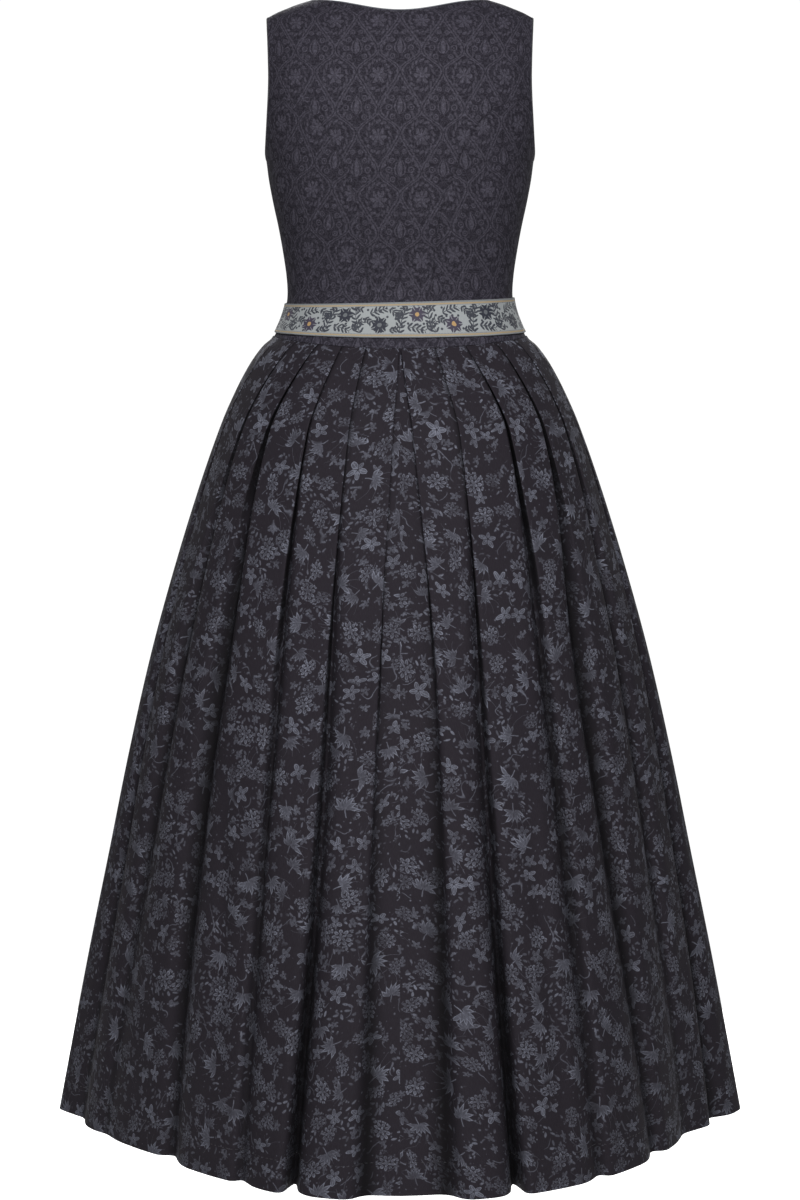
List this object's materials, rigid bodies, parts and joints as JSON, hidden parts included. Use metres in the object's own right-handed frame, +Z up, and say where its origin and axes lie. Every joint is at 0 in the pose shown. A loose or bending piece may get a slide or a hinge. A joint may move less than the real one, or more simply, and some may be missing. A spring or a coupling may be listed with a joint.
{
  "type": "dirndl",
  "caption": "Sleeveless long dirndl with a fitted bodice, a ribbon belt and a full pleated skirt to the floor, hollow as worn.",
  "frame": {"origin": "midway between the wearer's two shoulders, level with the top of the straps", "axes": "+Z up, +Y the way the wearer faces, +X to the wearer's right, so the back is on the -Y side"},
  "size_m": [0.8202, 0.7789, 1.3166],
  "materials": {
    "damask": "tone-on-tone woven damask",
    "floral": "jacquard with blue-grey flowers",
    "ribbon": "woven ribbon with dark sprigs"
  },
  "bodies": {
    "root": {"bodice_back_centre": "damask", "bodice_back_side_left": "damask", "bodice_back_side_right": "damask", "bodice_front_left": "damask", "bodice_front_right": "damask", "skirt_back_left": "floral", "skirt_back_right": "floral", "skirt_front_left": "floral", "skirt_front_right": "floral", "belt": "ribbon"}
  },
  "joints": []
}
